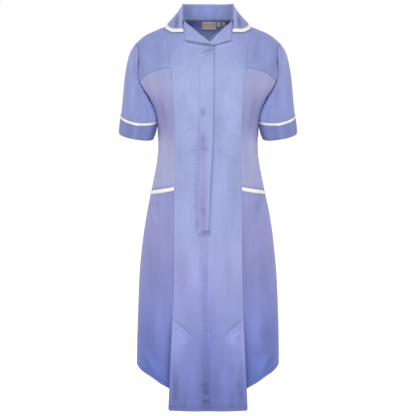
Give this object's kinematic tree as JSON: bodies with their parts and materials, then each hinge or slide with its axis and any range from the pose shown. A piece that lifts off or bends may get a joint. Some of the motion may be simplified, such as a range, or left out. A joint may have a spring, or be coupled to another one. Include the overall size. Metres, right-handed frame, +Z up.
{
  "type": "nurse uniform dress",
  "caption": "Knee-length short-sleeved uniform dress in its worn shape, with turned collar, revers, front fly, princess panels, slanted pockets and kick pleats.",
  "frame": {"origin": "middle of the neck, level with the inner ends of the shoulder seams, where the wearer's shoulders hold the dress", "axes": "+Z up, the front faces -Y, +X towards the wearer's left side; the dress is longest along Z and thinnest along Y"},
  "size_m": [0.4936, 0.2568, 1.1061],
  "materials": {
    "dress_cloth": "pale blue polyester and cotton twill, smooth, slight sheen",
    "trim_cloth": "white polyester and cotton twill, smooth",
    "label_tape": "beige woven satin tape, bare"
  },
  "bodies": {
    "root": {"front_left": "dress_cloth", "front_right": "dress_cloth", "yoke_left": "dress_cloth", "yoke_right": "dress_cloth", "bodice_side_left": "dress_cloth", "bodice_side_right": "dress_cloth", "skirt_side_left": "dress_cloth", "skirt_side_right": "dress_cloth", "pleat_fold_left": "dress_cloth", "pleat_fold_right": "dress_cloth", "back": "dress_cloth", "sleeve_left": "dress_cloth", "sleeve_right": "dress_cloth", "cuff_left": "dress_cloth", "cuff_right": "dress_cloth", "revers_left": "dress_cloth", "revers_right": "dress_cloth", "collar": "dress_cloth", "collar_trim": "trim_cloth", "pocket_trim_left": "trim_cloth", "pocket_trim_right": "trim_cloth", "cuff_trim_left": "trim_cloth", "cuff_trim_right": "trim_cloth", "neck_label": "label_tape", "size_tab": "label_tape", "care_tab": "label_tape"}
  },
  "joints": []
}
